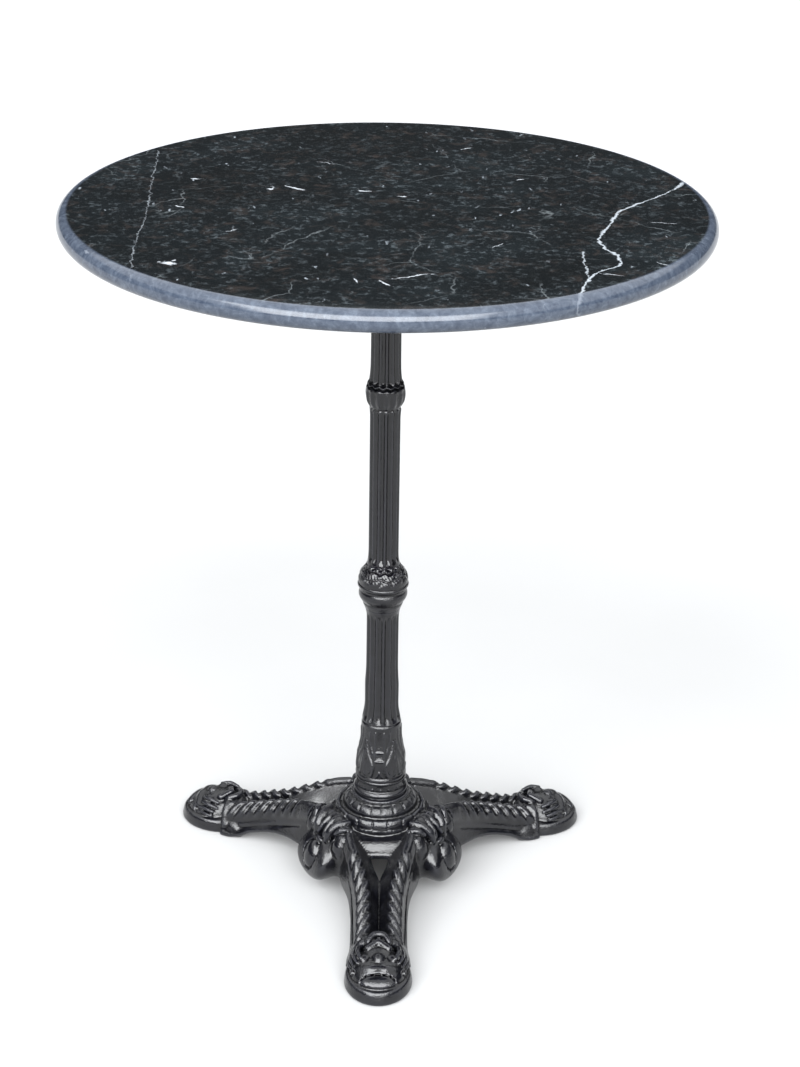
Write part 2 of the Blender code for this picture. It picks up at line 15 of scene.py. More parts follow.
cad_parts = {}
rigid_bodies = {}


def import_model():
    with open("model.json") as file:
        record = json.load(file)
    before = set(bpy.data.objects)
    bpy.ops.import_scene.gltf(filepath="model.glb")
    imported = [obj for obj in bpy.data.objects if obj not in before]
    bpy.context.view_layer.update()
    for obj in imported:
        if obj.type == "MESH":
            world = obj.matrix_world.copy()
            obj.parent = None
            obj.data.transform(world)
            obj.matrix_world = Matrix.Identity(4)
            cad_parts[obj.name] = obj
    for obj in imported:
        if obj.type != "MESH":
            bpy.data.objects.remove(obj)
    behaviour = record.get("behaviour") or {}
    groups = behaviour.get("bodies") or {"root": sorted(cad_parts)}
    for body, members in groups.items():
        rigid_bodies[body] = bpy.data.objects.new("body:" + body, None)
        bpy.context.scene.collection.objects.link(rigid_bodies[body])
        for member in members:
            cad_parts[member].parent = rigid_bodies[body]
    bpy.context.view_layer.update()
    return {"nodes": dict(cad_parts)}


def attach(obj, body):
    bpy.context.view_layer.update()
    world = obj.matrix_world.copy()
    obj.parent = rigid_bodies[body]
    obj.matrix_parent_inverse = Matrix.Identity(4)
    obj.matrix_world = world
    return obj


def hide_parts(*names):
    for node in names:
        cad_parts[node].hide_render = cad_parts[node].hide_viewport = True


MM = 0.001
HALF_TURN = math.pi
TURN = 2 * math.pi
LEG_STEP = TURN / 3
SCREW_ANGLES = [math.radians(a) for a in (45, 135, 225, 315)]

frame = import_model()
nodes = frame["nodes"]


# ---- small helpers ------------------------------------------------------------------------------
def srgb(r, g, b):
    """A colour given as 0 to 255 screen values, in the linear values that shaders take."""
    return tuple(c / 12.92 if c <= 0.04045 else ((c + 0.055) / 1.055) ** 2.4
                 for c in (r / 255, g / 255, b / 255)) + (1.0,)


def spline(points, steps):
    """Catmull-Rom through the rows of an array, with this many steps between neighbours."""
    rows = np.asarray(points, float)
    ends = np.vstack([2 * rows[0] - rows[1], rows, 2 * rows[-1] - rows[-2]])
    out = []
    for i in range(len(rows) - 1):
        a, b, c, d = ends[i:i + 4]
        for k in range(steps):
            t = k / steps
            out.append(0.5 * (2 * b + (c - a) * t + (2 * a - 5 * b + 4 * c - d) * t * t
                              + (3 * b - a - 3 * c + d) * t ** 3))
    return np.array(out + [rows[-1]])


def mesh_object(name, points_mm, faces, smooth=True):
    """An object from an array of points in millimetres and an array of triangles or quads."""
    mesh = bpy.data.meshes.new(name)
    faces = np.asarray(faces, np.int32)
    count, corners = faces.shape
    mesh.vertices.add(len(points_mm))
    mesh.vertices.foreach_set("co", (np.asarray(points_mm) * MM).astype(np.float32).ravel())
    mesh.loops.add(count * corners)
    mesh.loops.foreach_set("vertex_index", faces.ravel())
    mesh.polygons.add(count)
    mesh.polygons.foreach_set("loop_start", np.arange(0, count * corners, corners, dtype=np.int32))
    mesh.polygons.foreach_set("use_smooth", np.full(count, smooth))
    mesh.update(calc_edges=True)
    mesh.validate()
    obj = bpy.data.objects.new(name, mesh)
    bpy.context.scene.collection.objects.link(obj)
    return obj


# ---- camera -------------------------------------------------------------------------------------
CAMERA_PLACE = Vector((0.0005, -2.0794, 1.3275))
CAMERA_PITCH = 0.427                # down from level, radians
CAMERA_YAW = -0.0073
CAMERA_ROLL = 0.0159
CAMERA_LENS = 79.71                 # mm, on a 36 mm sensor


def add_camera():
    data = bpy.data.cameras.new("photo_camera")
    data.lens = CAMERA_LENS
    data.sensor_width = 36
    camera = bpy.data.objects.new("photo_camera", data)
    bpy.context.scene.collection.objects.link(camera)
    turn = (Matrix.Rotation(CAMERA_YAW, 4, "Z") @ Matrix.Rotation(HALF_TURN / 2 - CAMERA_PITCH, 4, "X")
            @ Matrix.Rotation(CAMERA_ROLL, 4, "Z"))
    camera.matrix_world = Matrix.Translation(CAMERA_PLACE) @ turn
    bpy.context.scene.camera = camera


# ---- materials ----------------------------------------------------------------------------------
class Graph:
    """A material's node tree, with short calls for the nodes used here."""

    def __init__(self, name):
        self.material = bpy.data.materials.new(name)
        self.material.use_nodes = True
        self.tree = self.material.node_tree
        self.shader = self.tree.nodes["Principled BSDF"]
        self.place = self.node("ShaderNodeTexCoord").outputs["Object"]

    @classmethod
    def of_tree(cls, tree):
        """The same calls for a node tree that is already there."""
        graph = cls.__new__(cls)
        graph.tree = tree
        return graph

    def node(self, kind, inputs=None, **settings):
        made = self.tree.nodes.new(kind)
        for key, value in settings.items():
            setattr(made, key, value)
        for key, value in (inputs or {}).items():
            self.put(made.inputs[key], value)
        return made

    def put(self, socket, value):
        if isinstance(value, bpy.types.NodeSocket):
            self.tree.links.new(value, socket)
        else:
            socket.default_value = value

    def set(self, **values):
        for key, value in values.items():
            self.put(self.shader.inputs[key.replace("_", " ")], value)

    def noise(self, scale, detail=3.0, roughness=0.5, at=None, distortion=0.0):
        return self.node("ShaderNodeTexNoise", {"Vector": at or self.place, "Scale": scale, "Detail": detail,
                                                "Roughness": roughness, "Distortion": distortion})

    def math(self, operation, a, b=0.0, clamp=False):
        return self.node("ShaderNodeMath", {0: a, 1: b}, operation=operation, use_clamp=clamp).outputs[0]

    def ramp(self, factor, stops):
        """A colour ramp; stops are (position, colour)."""
        made = self.node("ShaderNodeValToRGB", {"Fac": factor})
        elements = made.color_ramp.elements
        while len(elements) < len(stops):
            elements.new(0.5)
        for element, (position, colour) in zip(elements, stops):
            element.position = position
            element.color = colour if isinstance(colour, tuple) else (colour, colour, colour, 1)
        return made.outputs["Color"]

    def mix(self, factor, a, b, blend="MIX"):
        made = self.node("ShaderNodeMix", data_type="RGBA", blend_type=blend)
        for index, value in ((0, factor), (6, a), (7, b)):
            self.put(made.inputs[index], value)
        return made.outputs[2]

    def bump(self, height, distance, strength=1.0, under=None):
        made = self.node("ShaderNodeBump", {"Height": height, "Distance": distance, "Strength": strength})
        if under is not None:
            self.put(made.inputs["Normal"], under)
        return made.outputs["Normal"]


def enamelled_iron():
    """Glossy black paint over sand-cast iron: orange peel over a coarse cast skin, with painted shade in the
    recesses and painted light on the edges.
    """
    g = Graph("black_enamel_on_cast_iron")
    peel = g.noise(330.0, 2.0, 0.5).outputs["Fac"]
    grain = g.noise(620.0, 3.0, 0.6).outputs["Fac"]
    coarse = g.ramp(g.noise(38.0, 2.0, 0.5).outputs["Fac"], [(0.36, 0.15), (0.62, 1.0)])
    # Painted shade and light: by pointiness the paint goes nearly black in hollows and creases and lighter
    # grey on convex edges.
    edge = g.node("ShaderNodeNewGeometry").outputs["Pointiness"]
    painted_shade_and_edge_light = g.ramp(edge, [(0.44, srgb(1, 1, 2)), (0.5, srgb(7, 7, 10)), (0.58, srgb(22, 23, 29))])
    dust = g.ramp(g.noise(120.0, 3.0, 0.55).outputs["Fac"], [(0.5, 0.0), (0.8, 0.3)])
    rough = g.node("ShaderNodeMapRange", {"Value": coarse, "From Min": 0.15, "From Max": 1.0, "To Min": 0.11,
                                          "To Max": 0.22}).outputs[0]
    g.set(Base_Color=g.mix(dust, painted_shade_and_edge_light, srgb(36, 37, 44)), Roughness=rough,
          Normal=g.bump(grain, 0.0005, coarse, g.bump(peel, 0.0004, 0.5)))
    g.shader.inputs["Specular IOR Level"].default_value = 0.55
    return g.material


# Veins are smooth lines x(y) across the slab, in metres: (y, x) points from front to back.
MAIN_VEIN = [(-0.303, 0.152), (-0.262, 0.155), (-0.239, 0.160), (-0.207, 0.168), (-0.188, 0.178),
             (-0.169, 0.196), (-0.144, 0.196), (-0.119, 0.187), (-0.096, 0.184), (-0.079, 0.189),
             (-0.045, 0.200), (-0.011, 0.211), (0.022, 0.237), (0.049, 0.259), (0.089, 0.280)]
BRANCH_VEIN = [(-0.213, 0.166), (-0.196, 0.168), (-0.165, 0.167), (-0.133, 0.169)]
LEFT_VEIN = [(-0.254, -0.208), (-0.176, -0.215), (-0.105, -0.217), (-0.056, -0.216), (0.007, -0.218),
             (0.075, -0.221), (0.172, -0.224)]
# Bright chips and short streaks: x, y, half-length, half-width in metres and the way they point in degrees.
STREAKS = [(-0.184, -0.180, 0.0075, 0.0040, -20), (-0.181, -0.172, 0.0030, 0.0022, 60),
           (-0.086, 0.049, 0.0120, 0.0020, -28), (-0.108, 0.046, 0.0060, 0.0014, 80),
           (-0.179, 0.077, 0.0080, 0.0022, -15), (-0.187, -0.017, 0.0060, 0.0012, -35),
           (-0.023, 0.042, 0.0070, 0.0014, -20), (0.012, 0.024, 0.0060, 0.0014, -10),
           (0.000, -0.226, 0.0100, 0.0014, 118), (0.022, -0.207, 0.0200, 0.0012, 22),
           (-0.024, -0.221, 0.0060, 0.0012, 110), (0.247, -0.046, 0.0200, 0.0006, 4),
           (0.188, -0.197, 0.0110, 0.0008, -30), (-0.256, -0.148, 0.0060, 0.0012, -60),
           (0.075, 0.196, 0.0080, 0.0008, 30), (0.125, 0.085, 0.0050, 0.0014, 0),
           (0.232, -0.164, 0.0060, 0.0012, -50), (-0.140, -0.085, 0.0090, 0.0006, 35),
           (-0.060, 0.135, 0.0120, 0.0006, -12), (0.095, -0.120, 0.0080, 0.0006, 50)]
POLISHED_TO = 0.2905                # radius where the polished top gives way to the rounded edge, which is a little rougher and carries a painted reflection, metres
EDGE_SOFT = 0.0015


def black_marble():
    """Polished near-black marble with clouds, flecks and a white vein. Its round edge is a little rougher,
    and its lighter blue-grey colour is a painted reflection.
    """
    g = Graph("black_marble_polished")
    across = g.node("ShaderNodeSeparateXYZ", {"Vector": g.place}).outputs
    cloud = g.noise(11.0, 4.0, 0.6, distortion=0.5).outputs["Fac"]
    mottle = g.noise(150.0, 5.0, 0.7, distortion=0.5).outputs["Fac"]
    colour = g.ramp(cloud, [(0.3, srgb(5, 8, 10)), (0.5, srgb(8, 13, 16)), (0.7, srgb(18, 24, 27))])
    brown = g.ramp(g.noise(60.0, 4.0, 0.65, distortion=0.6).outputs["Fac"], [(0.54, 0.0), (0.74, 0.6)])
    colour = g.mix(brown, colour, srgb(54, 47, 44))
    spots = g.math("MULTIPLY", g.ramp(mottle, [(0.54, 0.0), (0.74, 0.75)]),
                   g.ramp(cloud, [(0.4, 0.35), (0.6, 1.0)]))
    colour = g.mix(spots, colour, srgb(92, 101, 106))
    warp = g.noise(38.0, 3.0, 0.6)
    moved = g.node("ShaderNodeVectorMath", {0: warp.outputs["Color"], 1: (0.5, 0.5, 0.5)},
                   operation="SUBTRACT")
    moved = g.node("ShaderNodeVectorMath", {0: moved.outputs[0], 3: 0.02}, operation="SCALE")
    warped = g.node("ShaderNodeVectorMath", {0: g.place, 1: moved.outputs[0]}, operation="ADD").outputs[0]
    cells = g.node("ShaderNodeTexVoronoi", {"Vector": warped, "Scale": 9.0}, feature="DISTANCE_TO_EDGE")
    thin = g.ramp(g.noise(14.0, 2.0).outputs["Fac"], [(0.52, 0.0), (0.66, 1.0)])
    hair = g.math("MULTIPLY", g.ramp(cells.outputs["Distance"], [(0.0, 0.45), (0.008, 0.0)]), thin)
    colour = g.mix(hair, colour, srgb(126, 133, 136))
    colour = g.mix(white_flecks(g, warped), colour, srgb(155, 163, 171))
    colour = g.mix(streaks(g, warped), colour, srgb(176, 181, 187))
    for points, width, strength in ((MAIN_VEIN, 0.0018, 0.9), (LEFT_VEIN, 0.0007, 0.4),
                                    (BRANCH_VEIN, 0.0011, 0.7)):
        colour = g.mix(vein(g, across, points, width, strength), colour, srgb(172, 179, 186))
    from_axis = g.node("ShaderNodeVectorMath", {0: g.node("ShaderNodeVectorMath", {0: g.place, 1: (1, 1, 0)},
                       operation="MULTIPLY").outputs[0]}, operation="LENGTH").outputs["Value"]
    edge = g.node("ShaderNodeMapRange", {"Value": from_axis, "From Min": POLISHED_TO - EDGE_SOFT,
                                         "From Max": POLISHED_TO + EDGE_SOFT},
                  interpolation_type="SMOOTHSTEP")
    # Painted reflection: on the round edge the marble is mixed toward a light blue-grey that stands in for
    # the room it reflects.
    painted_edge_reflection = g.mix(0.82, colour, g.ramp(mottle, [(0.35, srgb(50, 58, 72)), (0.65, srgb(76, 84, 97))]))
    g.set(Base_Color=g.mix(edge.outputs[0], colour, painted_edge_reflection),
          Roughness=g.math("ADD", g.ramp(mottle, [(0.3, 0.11), (0.7, 0.18)]),
                           g.math("MULTIPLY", edge.outputs[0], 0.02)))
    g.shader.inputs["Specular IOR Level"].default_value = 0.5
    return g.material


def white_flecks(g, at):
    """Small bright chips and short hairs of calcite, lying in three directions."""
    total = None
    for scale, size, share, turn in ((46.0, 0.085, 0.80, 0.5), (80.0, 0.13, 0.80, -0.7),
                                     (120.0, 0.17, 0.78, 1.4)):
        stretched = g.node("ShaderNodeMapping", {"Vector": at, "Rotation": (0, 0, turn),
                                                 "Scale": (1.0, 0.28, 1.0)})
        cells = g.node("ShaderNodeTexVoronoi", {"Vector": stretched.outputs[0], "Scale": scale,
                                                "Randomness": 1.0})
        chip = g.ramp(cells.outputs["Distance"], [(size * 0.5, 1.0), (size, 0.0)])
        chosen = g.node("ShaderNodeSeparateColor", {"Color": cells.outputs["Color"]}).outputs
        chip = g.math("MULTIPLY", chip, g.math("GREATER_THAN", chosen[0], share))
        kept = g.math("MULTIPLY", chip, chosen[1])
        total = kept if total is None else g.math("MAXIMUM", total, kept)
    ragged = g.ramp(g.noise(420.0, 2.0).outputs["Fac"], [(0.4, 0.15), (0.6, 1.0)])
    return g.math("MULTIPLY", total, ragged)


def streaks(g, at):
    """The larger chips and streaks, each where it lies in the slab, with ragged ends."""
    ragged = g.math("MULTIPLY", g.math("SUBTRACT", g.noise(260.0, 3.0, 0.7).outputs["Fac"], 0.5), 2.2)
    total = None
    for x, y, long, wide, turn in STREAKS:
        local = g.node("ShaderNodeMapping", {"Vector": at, "Location": (x, y, 0), "Scale": (long, wide, 1e3),
                                             "Rotation": (0, 0, math.radians(turn))}, vector_type="TEXTURE")
        away = g.node("ShaderNodeVectorMath", {0: local.outputs[0]}, operation="LENGTH").outputs["Value"]
        shown = g.math("SUBTRACT", 1.0, g.math("ADD", away, ragged), clamp=True)
        total = shown if total is None else g.math("MAXIMUM", total, shown)
    return g.math("MULTIPLY", total, 1.6, clamp=True)


def vein(g, across, points, width, strength):
    """How much of a white vein shows here: it wanders round a line x(y) and its width swells and thins."""
    low, high = points[0][0], points[-1][0]
    reach = 0.4
    along = g.node("ShaderNodeMapRange", {"Value": across[1], "From Min": low, "From Max": high}).outputs[0]
    line = g.node("ShaderNodeFloatCurve", {"Value": along})
    curve = line.mapping.curves[0]
    while len(curve.points) < len(points):
        curve.points.new(0.5, 0.5)
    for point, (y, x) in zip(curve.points, points):
        point.location = ((y - low) / (high - low), 0.5 + x / (2 * reach))
    line.mapping.update()
    middle = g.math("MULTIPLY", g.math("SUBTRACT", line.outputs[0], 0.5), 2 * reach)
    wander = g.math("MULTIPLY", g.math("SUBTRACT", g.noise(95.0, 4.0, 0.65).outputs["Fac"], 0.5), 0.011)
    away = g.math("ABSOLUTE", g.math("SUBTRACT", g.math("ADD", across[0], wander), middle))
    swell = g.node("ShaderNodeMapRange", {"Value": g.noise(48.0, 3.0).outputs["Fac"], "From Min": 0.35,
                                          "From Max": 0.65, "To Min": width * 0.25, "To Max": width * 1.4})
    inside = g.math("SUBTRACT", 1.0, g.math("DIVIDE", away, swell.outputs[0]), clamp=True)
    ends = g.math("MULTIPLY", g.math("GREATER_THAN", across[1], low), g.math("LESS_THAN", across[1], high))
    return g.math("MULTIPLY", g.math("MULTIPLY", g.math("POWER", inside, 0.6), strength), ends)


def plated_steel():
    """Bright zinc plate with a slight blue-yellow cast and turned scratches."""
    g = Graph("zinc_plated_steel")
    cast = g.noise(55.0, 2.0).outputs["Fac"]
    squeezed = g.node("ShaderNodeMapping", {"Vector": g.place, "Scale": (1, 1, 12)})
    lines = g.noise(300.0, 2.0, at=squeezed.outputs[0])
    g.set(Base_Color=g.ramp(cast, [(0.35, srgb(176, 180, 186)), (0.65, srgb(198, 194, 178))]), Metallic=1.0,
          Roughness=g.ramp(lines.outputs["Fac"], [(0.3, 0.28), (0.7, 0.45)]),
          Normal=g.bump(lines.outputs["Fac"], 0.00004, 0.6))
    return g.material


def turned_brass():
    g = Graph("turned_brass")
    dull = g.noise(90.0, 3.0).outputs["Fac"]
    g.set(Base_Color=g.ramp(dull, [(0.35, srgb(176, 141, 72)), (0.7, srgb(203, 172, 104))]), Metallic=1.0,
          Roughness=g.ramp(dull, [(0.3, 0.25), (0.7, 0.4)]), Normal=g.bump(dull, 0.00003, 0.5))
    return g.material


def moulded(name, dark, light, roughness, grain_scale):
    """A moulded rubber or plastic with a fine matt grain."""
    g = Graph(name)
    grain = g.noise(grain_scale, 3.0, 0.6).outputs["Fac"]
    g.set(Base_Color=g.ramp(g.noise(60.0, 2.0).outputs["Fac"], [(0.3, dark), (0.7, light)]),
          Roughness=g.ramp(grain, [(0.3, roughness - 0.08), (0.7, roughness + 0.08)]),
          Normal=g.bump(grain, 0.00006, 0.5))
    return g.material


def paint(obj, material):
    obj.data.materials.clear()
    obj.data.materials.append(material)


# ---- marble slab --------------------------------------------------------------------------------
SLAB_RADIUS = 300.0
SLAB_TOP = 710.0
SLAB_THICKNESS = 20.0
INSERT_CIRCLE = 180.0
INSERT_HOLE = 5.3
INSERT_DEPTH = 11.3


def marble_slab(material):
    """The slab: a flat top, a full bullnose edge and four blind holes for the brass inserts."""
    half = SLAB_THICKNESS / 2
    edge_steps, round_steps = 20, 256
    arc = np.linspace(0, HALF_TURN, edge_steps + 1)
    radii = np.concatenate([[60, 180, 270], SLAB_RADIUS - half + half * np.sin(arc), [270, 180, 60]])
    heights = np.concatenate([[SLAB_TOP] * 3, SLAB_TOP - half + half * np.cos(arc),
                              [SLAB_TOP - SLAB_THICKNESS] * 3])
    angle = np.arange(round_steps) * TURN / round_steps
    rings = np.stack([radii[:, None] * np.cos(angle), radii[:, None] * np.sin(angle),
                      np.repeat(heights[:, None], round_steps, 1)], -1).reshape(-1, 3)
    slab = mesh_object("marble_slab", rings, grid_faces(len(radii), round_steps, closed=False))
    bm = bmesh.new()
    bm.from_mesh(slab.data)
    bmesh.ops.holes_fill(bm, edges=[e for e in bm.edges if e.is_boundary], sides=0)
    bm.to_mesh(slab.data)
    bm.free()
    for polygon in slab.data.polygons:
        polygon.use_smooth = True
    paint(slab, material)
    cutters = bpy.data.collections.new("insert_holes")
    for angle in SCREW_ANGLES:
        bpy.ops.mesh.primitive_cylinder_add(vertices=32, radius=INSERT_HOLE * MM, depth=2 * INSERT_DEPTH * MM,
                                            location=(INSERT_CIRCLE * MM * math.cos(angle),
                                                      INSERT_CIRCLE * MM * math.sin(angle),
                                                      (SLAB_TOP - SLAB_THICKNESS) * MM))
        cutter = bpy.context.object
        cutters.objects.link(cutter)
    drill = slab.modifiers.new("insert_holes", "BOOLEAN")
    drill.operand_type, drill.collection, drill.solver = "COLLECTION", cutters, "EXACT"
    apply_modifiers(slab)
    for cutter in list(cutters.objects):
        bpy.data.objects.remove(cutter)
    bpy.data.collections.remove(cutters)
    place(slab, "black_marble", "marble_top")


def apply_modifiers(obj):
    """Turns what the modifiers make into the object's own mesh."""
    graph = bpy.context.evaluated_depsgraph_get()
    made = bpy.data.meshes.new_from_object(obj.evaluated_get(graph))
    obj.modifiers.clear()
    obj.data = made


def place(obj, slot, *replaced):
    """The piece rides with the table and stands for its CAD nodes, which it hides. The slot is not used."""
    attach(obj, "table")
    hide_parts(*replaced)


def grid_faces(rows, columns, closed):
    """Quads over a grid whose columns run round, facing out when the rows run from top to bottom."""
    last = rows if closed else rows - 1
    i, j = np.meshgrid(np.arange(last), np.arange(columns), indexing="ij")
    below, beside = (i + 1) % rows, (j + 1) % columns
    return np.stack([i * columns + j, below * columns + j, below * columns + beside, i * columns + beside],
                    -1).reshape(-1, 4)


# ---- column castings ----------------------------------------------------------------------------
# Profiles are (z, radius) in millimetres over the ridges, from the top down.
FLUTES = 14
FLUTE_DEPTH = 2.1
FRONT = -HALF_TURN / 2
RIDGE_TURN = math.radians(4)        # a ridge stands this far right of the front
MOTIF_TURN = math.radians(-4)

SHAFT_PROFILE = [(660, 14.3), (620, 14.35), (583, 14.4), (555, 14.6), (547, 15.0), (543, 15.4), (539, 16.0),
                 (536, 17.2), (533.5, 18.3), (531.5, 18.8), (527.5, 19.2), (523.5, 18.9), (519.4, 18.0),
                 (515.4, 16.0), (511, 15.3), (507, 14.9), (500, 14.7), (430, 14.7), (365, 14.7), (361, 14.8),
                 (357, 15.0), (353, 15.5), (350.3, 16.2)]
KNOP_PROFILE = [(350, 16.6), (348.5, 17.2), (344, 20.1), (340, 22.6), (336, 24.0), (331.6, 24.4),
                (330.6, 24.0), (329.8, 24.8), (328.4, 25.1), (327.2, 24.7), (325.6, 23.4), (324.2, 22.7),
                (323, 22.8), (321, 23.6), (318, 23.9), (315, 23.0), (312.4, 21.4), (310.6, 20.2),
                (309.6, 19.6), (308.6, 19.8), (305.2, 18.5), (303.3, 17.7)]
VASE_PROFILE = [(303, 17.6), (300, 16.8), (296, 16.2), (290, 15.9), (265, 15.9), (239, 16.0), (231, 16.3),
                (225, 16.6), (219, 17.0), (198, 17.0), (192, 17.3), (187, 18.1), (181, 19.2), (175.6, 19.9),
                (171, 20.0), (162, 20.1), (157, 20.4), (152.6, 21.1), (148, 21.9), (143, 22.9), (139, 23.8),
                (134, 24.4), (128, 24.6), (122, 24.5), (121, 24.6), (119, 25.5), (117, 25.4), (116.2, 24.7),
                (115.4, 25.3), (114, 25.5), (113, 24.9), (106.5, 24.9), (105.3, 24.4), (104.5, 25.6),
                (102.6, 27.2), (101, 27.4), (99.6, 26.7), (98.9, 25.6), (98, 25.9)]


def ridge(offset, width):
    """The height of a rounded ridge this far from its line."""
    return np.exp(-(offset / width) ** 2)


def fade(z, low, high, soft):
    """1 between two heights, falling smoothly to 0 over soft millimetres inside each end."""
    return np.clip((z - low) / soft, 0, 1) * np.clip((high - z) / soft, 0, 1)


def flutes(angle, z, low, high, soft):
    """How far the flutes cut in: narrow rounded ridges between wider hollows."""
    wave = 0.5 + 0.5 * np.cos(FLUTES * (angle - FRONT - RIDGE_TURN))
    return FLUTE_DEPTH * (1 - wave ** 1.5) * fade(z, low, high, soft)


def zigzag(angle, count, shift=0.0):
    """A triangle wave round the column, from 0 to 1, with a peak on each ridge."""
    phase = ((angle - FRONT - RIDGE_TURN) * count / TURN + shift) % 1.0
    return np.abs(2 * phase - 1)


def shaft_radius(angle, z):
    radius = np.interp(z, *np.transpose(spline(SHAFT_PROFILE, 6)[::-1]))
    radius = radius - flutes(angle, z, 353, 514, 5) - flutes(angle, z, 537.5, 700, 3)
    groove = 534.2 + 1.9 * zigzag(angle, FLUTES)
    lobes = 0.5 - 0.5 * np.cos(FLUTES * (angle - FRONT - RIDGE_TURN))
    radius = radius - 1.5 * lobes * fade(z, 514, 534, 5)
    radius = radius - 2.4 * ridge(z - groove, 0.9) + 0.7 * ridge(z - groove - 2.0, 0.9)
    return radius - 1.1 * ridge(z - 513.5, 1.2)


def knop_radius(angle, z):
    radius = np.interp(z, *np.transpose(spline(KNOP_PROFILE, 6)[::-1]))
    sweep = angle - FRONT - RIDGE_TURN
    edge = 345.2 + 1.8 * zigzag(angle, 12)
    radius = radius - flutes(angle, z, 347, 352, 2) - 1.7 * ridge(z - edge, 0.8)
    leaf = (z - 322) / 21
    petals = np.abs(np.sin(6 * sweep + 1.3 * np.sin(3.2 * leaf)))
    veins = np.sin(30 * sweep + 7 * leaf) * np.sin(9 * leaf + 12 * sweep)
    radius = radius + (1.0 * petals - 0.6 + 0.35 * veins) * fade(z, 333.5, 346, 3)
    tongues = 338 + 3.5 * zigzag(angle, 6, 0.25)
    return radius - 1.0 * ridge(z - tongues, 0.9) * fade(z, 333, 344, 2)


# Raised lines of the leaf casing, as (offset round the vase, z) in millimetres, mirrored about each motif.
LEAF_LINES = [([(4.7, 171), (4.9, 158), (4.6, 147), (4.8, 138), (6.6, 128), (8.6, 118)], 1.1, 1.0),
              ([(15.8, 160), (14.0, 151), (10.5, 143), (6.4, 135.5)], 1.2, 1.1),
              ([(11.5, 172), (11.2, 162), (9.4, 154), (7.6, 148)], 1.0, 0.8),
              ([(5.4, 134), (7.6, 130.5), (9.6, 127)], 0.9, 0.7),
              ([(17.0, 150), (16.6, 138), (15.2, 128), (13.4, 118)], 1.2, 0.9),
              ([(0.0, 128.5), (2.2, 124), (4.2, 118.5), (6.0, 113.5)], 0.9, 0.9)]
LINK_BARS = (149.5, 140.5)
MOTIFS = 4
VASE_RADIUS = 22.0                  # of the swelling part, on average


def leaf_relief(angle, z):
    """The raised leaf lines, square links and lancets round the swelling part of the vase."""
    sweep = (angle - FRONT - MOTIF_TURN + HALF_TURN / MOTIFS) % (TURN / MOTIFS) - HALF_TURN / MOTIFS
    across = np.abs(sweep) * VASE_RADIUS
    relief = np.zeros(np.broadcast(angle, z).shape)
    for line, width, height in LEAF_LINES:
        nearest = np.full(relief.shape, 1e9)
        for (a, za), (b, zb) in zip(line, line[1:]):
            length = (b - a) ** 2 + (zb - za) ** 2
            share = np.clip(((across - a) * (b - a) + (z - za) * (zb - za)) / length, 0, 1)
            nearest = np.minimum(nearest, np.hypot(across - a - share * (b - a), z - za - share * (zb - za)))
        relief = np.maximum(relief, height * ridge(nearest, width))
    for bar in LINK_BARS:
        relief = np.maximum(relief, 1.0 * ridge(z - bar, 1.0) * (across < 4.7))
    hollow = ridge(across, 3.6) * (ridge(z - 145, 3.4) + ridge(z - 162, 8))
    return relief - 0.7 * hollow - 0.5 * ridge(across - 9.5, 2.2) * ridge(z - 138, 9)


def vase_radius(angle, z):
    radius = np.interp(z, *np.transpose(spline(VASE_PROFILE, 6)[::-1]))
    radius = radius - flutes(angle, z, 178, 299, 6)
    radius = radius + leaf_relief(angle, z) * fade(z, 121.5, 173, 2.5)
    radius = radius - 0.9 * ridge(z - 177.4, 0.8)
    pearls = (np.cos(18 * (angle - FRONT)) * 0.5 + 0.5) ** 6
    return radius + 0.9 * pearls * ridge(z - 108.2, 1.3)


def column_casting(name, replaced, outline, heights, bore, columns, material):
    """A turned casting: outline(angle, z) outside at these heights, then its bore's (z, radius) points."""
    angle = np.arange(columns) * TURN / columns
    outside = outline(angle[None, :], heights[:, None])
    inside = np.repeat(np.array([r for _, r in bore], float)[:, None], columns, 1)
    radius = np.vstack([outside, inside])
    z = np.concatenate([heights, [z for z, _ in bore]])
    points = np.stack([radius * np.cos(angle), radius * np.sin(angle), np.repeat(z[:, None], columns, 1)], -1)
    obj = mesh_object(name, points.reshape(-1, 3), grid_faces(len(z), columns, closed=True))
    obj.data.set_sharp_from_angle(angle=math.radians(50))
    paint(obj, material)
    place(obj, "black_iron", replaced)


def steps(*spans):
    """Heights from the top down; each span is (from, to, step)."""
    return np.concatenate([np.arange(a, b, -s) for a, b, s in spans] + [[spans[-1][1]]])


def column(material):
    coarse = 1.0
    column_casting("shaft_casting", "fluted_shaft", shaft_radius,
                   steps((660, 541, 4), (541, 509, 0.5 * coarse), (509, 358, 5), (358, 350.3, 0.8)),
                   [(350.3, 9.3), (660, 9.3)], 168, material)
    column_casting("knop_casting", "column_knop", knop_radius, steps((350, 303.3, 0.5 * coarse)),
                   [(303.3, 9.3), (313, 9.3), (313, 5.9), (358, 5.9), (358, 9), (350, 9)], 240, material)
    column_casting("vase_casting", "vase_column", vase_radius,
                   steps((303, 296, 1), (296, 184, 4), (184, 98, 0.5 * coarse)),
                   [(98, 16), (90, 16), (90, 10.5), (295, 10.5), (299, 5.9), (311, 5.9), (311, 9), (303, 9)],
                   288, material)


# ---- tripod casting: distances in millimetres ---------------------------------------------------
# The tripod is worked out as a distance field. Every point is folded onto one leg: u runs out along
# the leg and v across it, and in the same way a runs out along the gap between two legs and b across.
def join(a, b, soft):
    """The union of two distance fields, with a fillet."""
    h = np.maximum(soft - np.abs(a - b), 0) / soft
    return np.minimum(a, b) - h * h * soft * 0.25


def cut(a, b, soft):
    """Field a with b taken away."""
    return -join(-a, b, soft)


def both(a, b, soft):
    return -join(-a, -b, soft)


